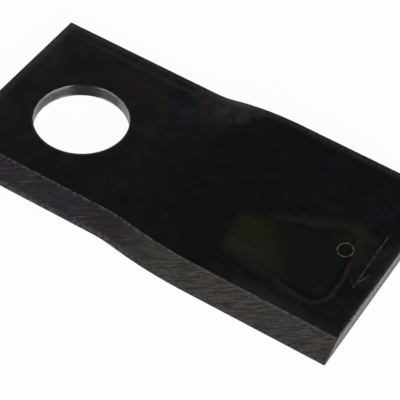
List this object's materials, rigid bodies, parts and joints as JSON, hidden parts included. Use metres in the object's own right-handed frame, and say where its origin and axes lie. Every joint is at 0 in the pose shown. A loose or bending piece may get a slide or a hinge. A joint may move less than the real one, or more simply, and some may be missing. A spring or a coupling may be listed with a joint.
{
  "type": "rotary mower blade",
  "caption": "Flat twisted rotary mower blade with a pivot bore at the mounting end and a ground cutting bevel along each long edge.",
  "frame": {"origin": "centre of the pivot bore at mid-thickness of the flat mounting end", "axes": "+X along the blade to the cutting tip, +Y to the long edge that the twist raises, +Z along the pivot bore"},
  "size_m": [0.096, 0.048, 0.01],
  "materials": {
    "blackened_steel": "heat-blackened and oiled faces, dark ground bevels, bare sheared ends and bore wall"
  },
  "bodies": {
    "root": {"blade": "blackened_steel"}
  },
  "joints": []
}
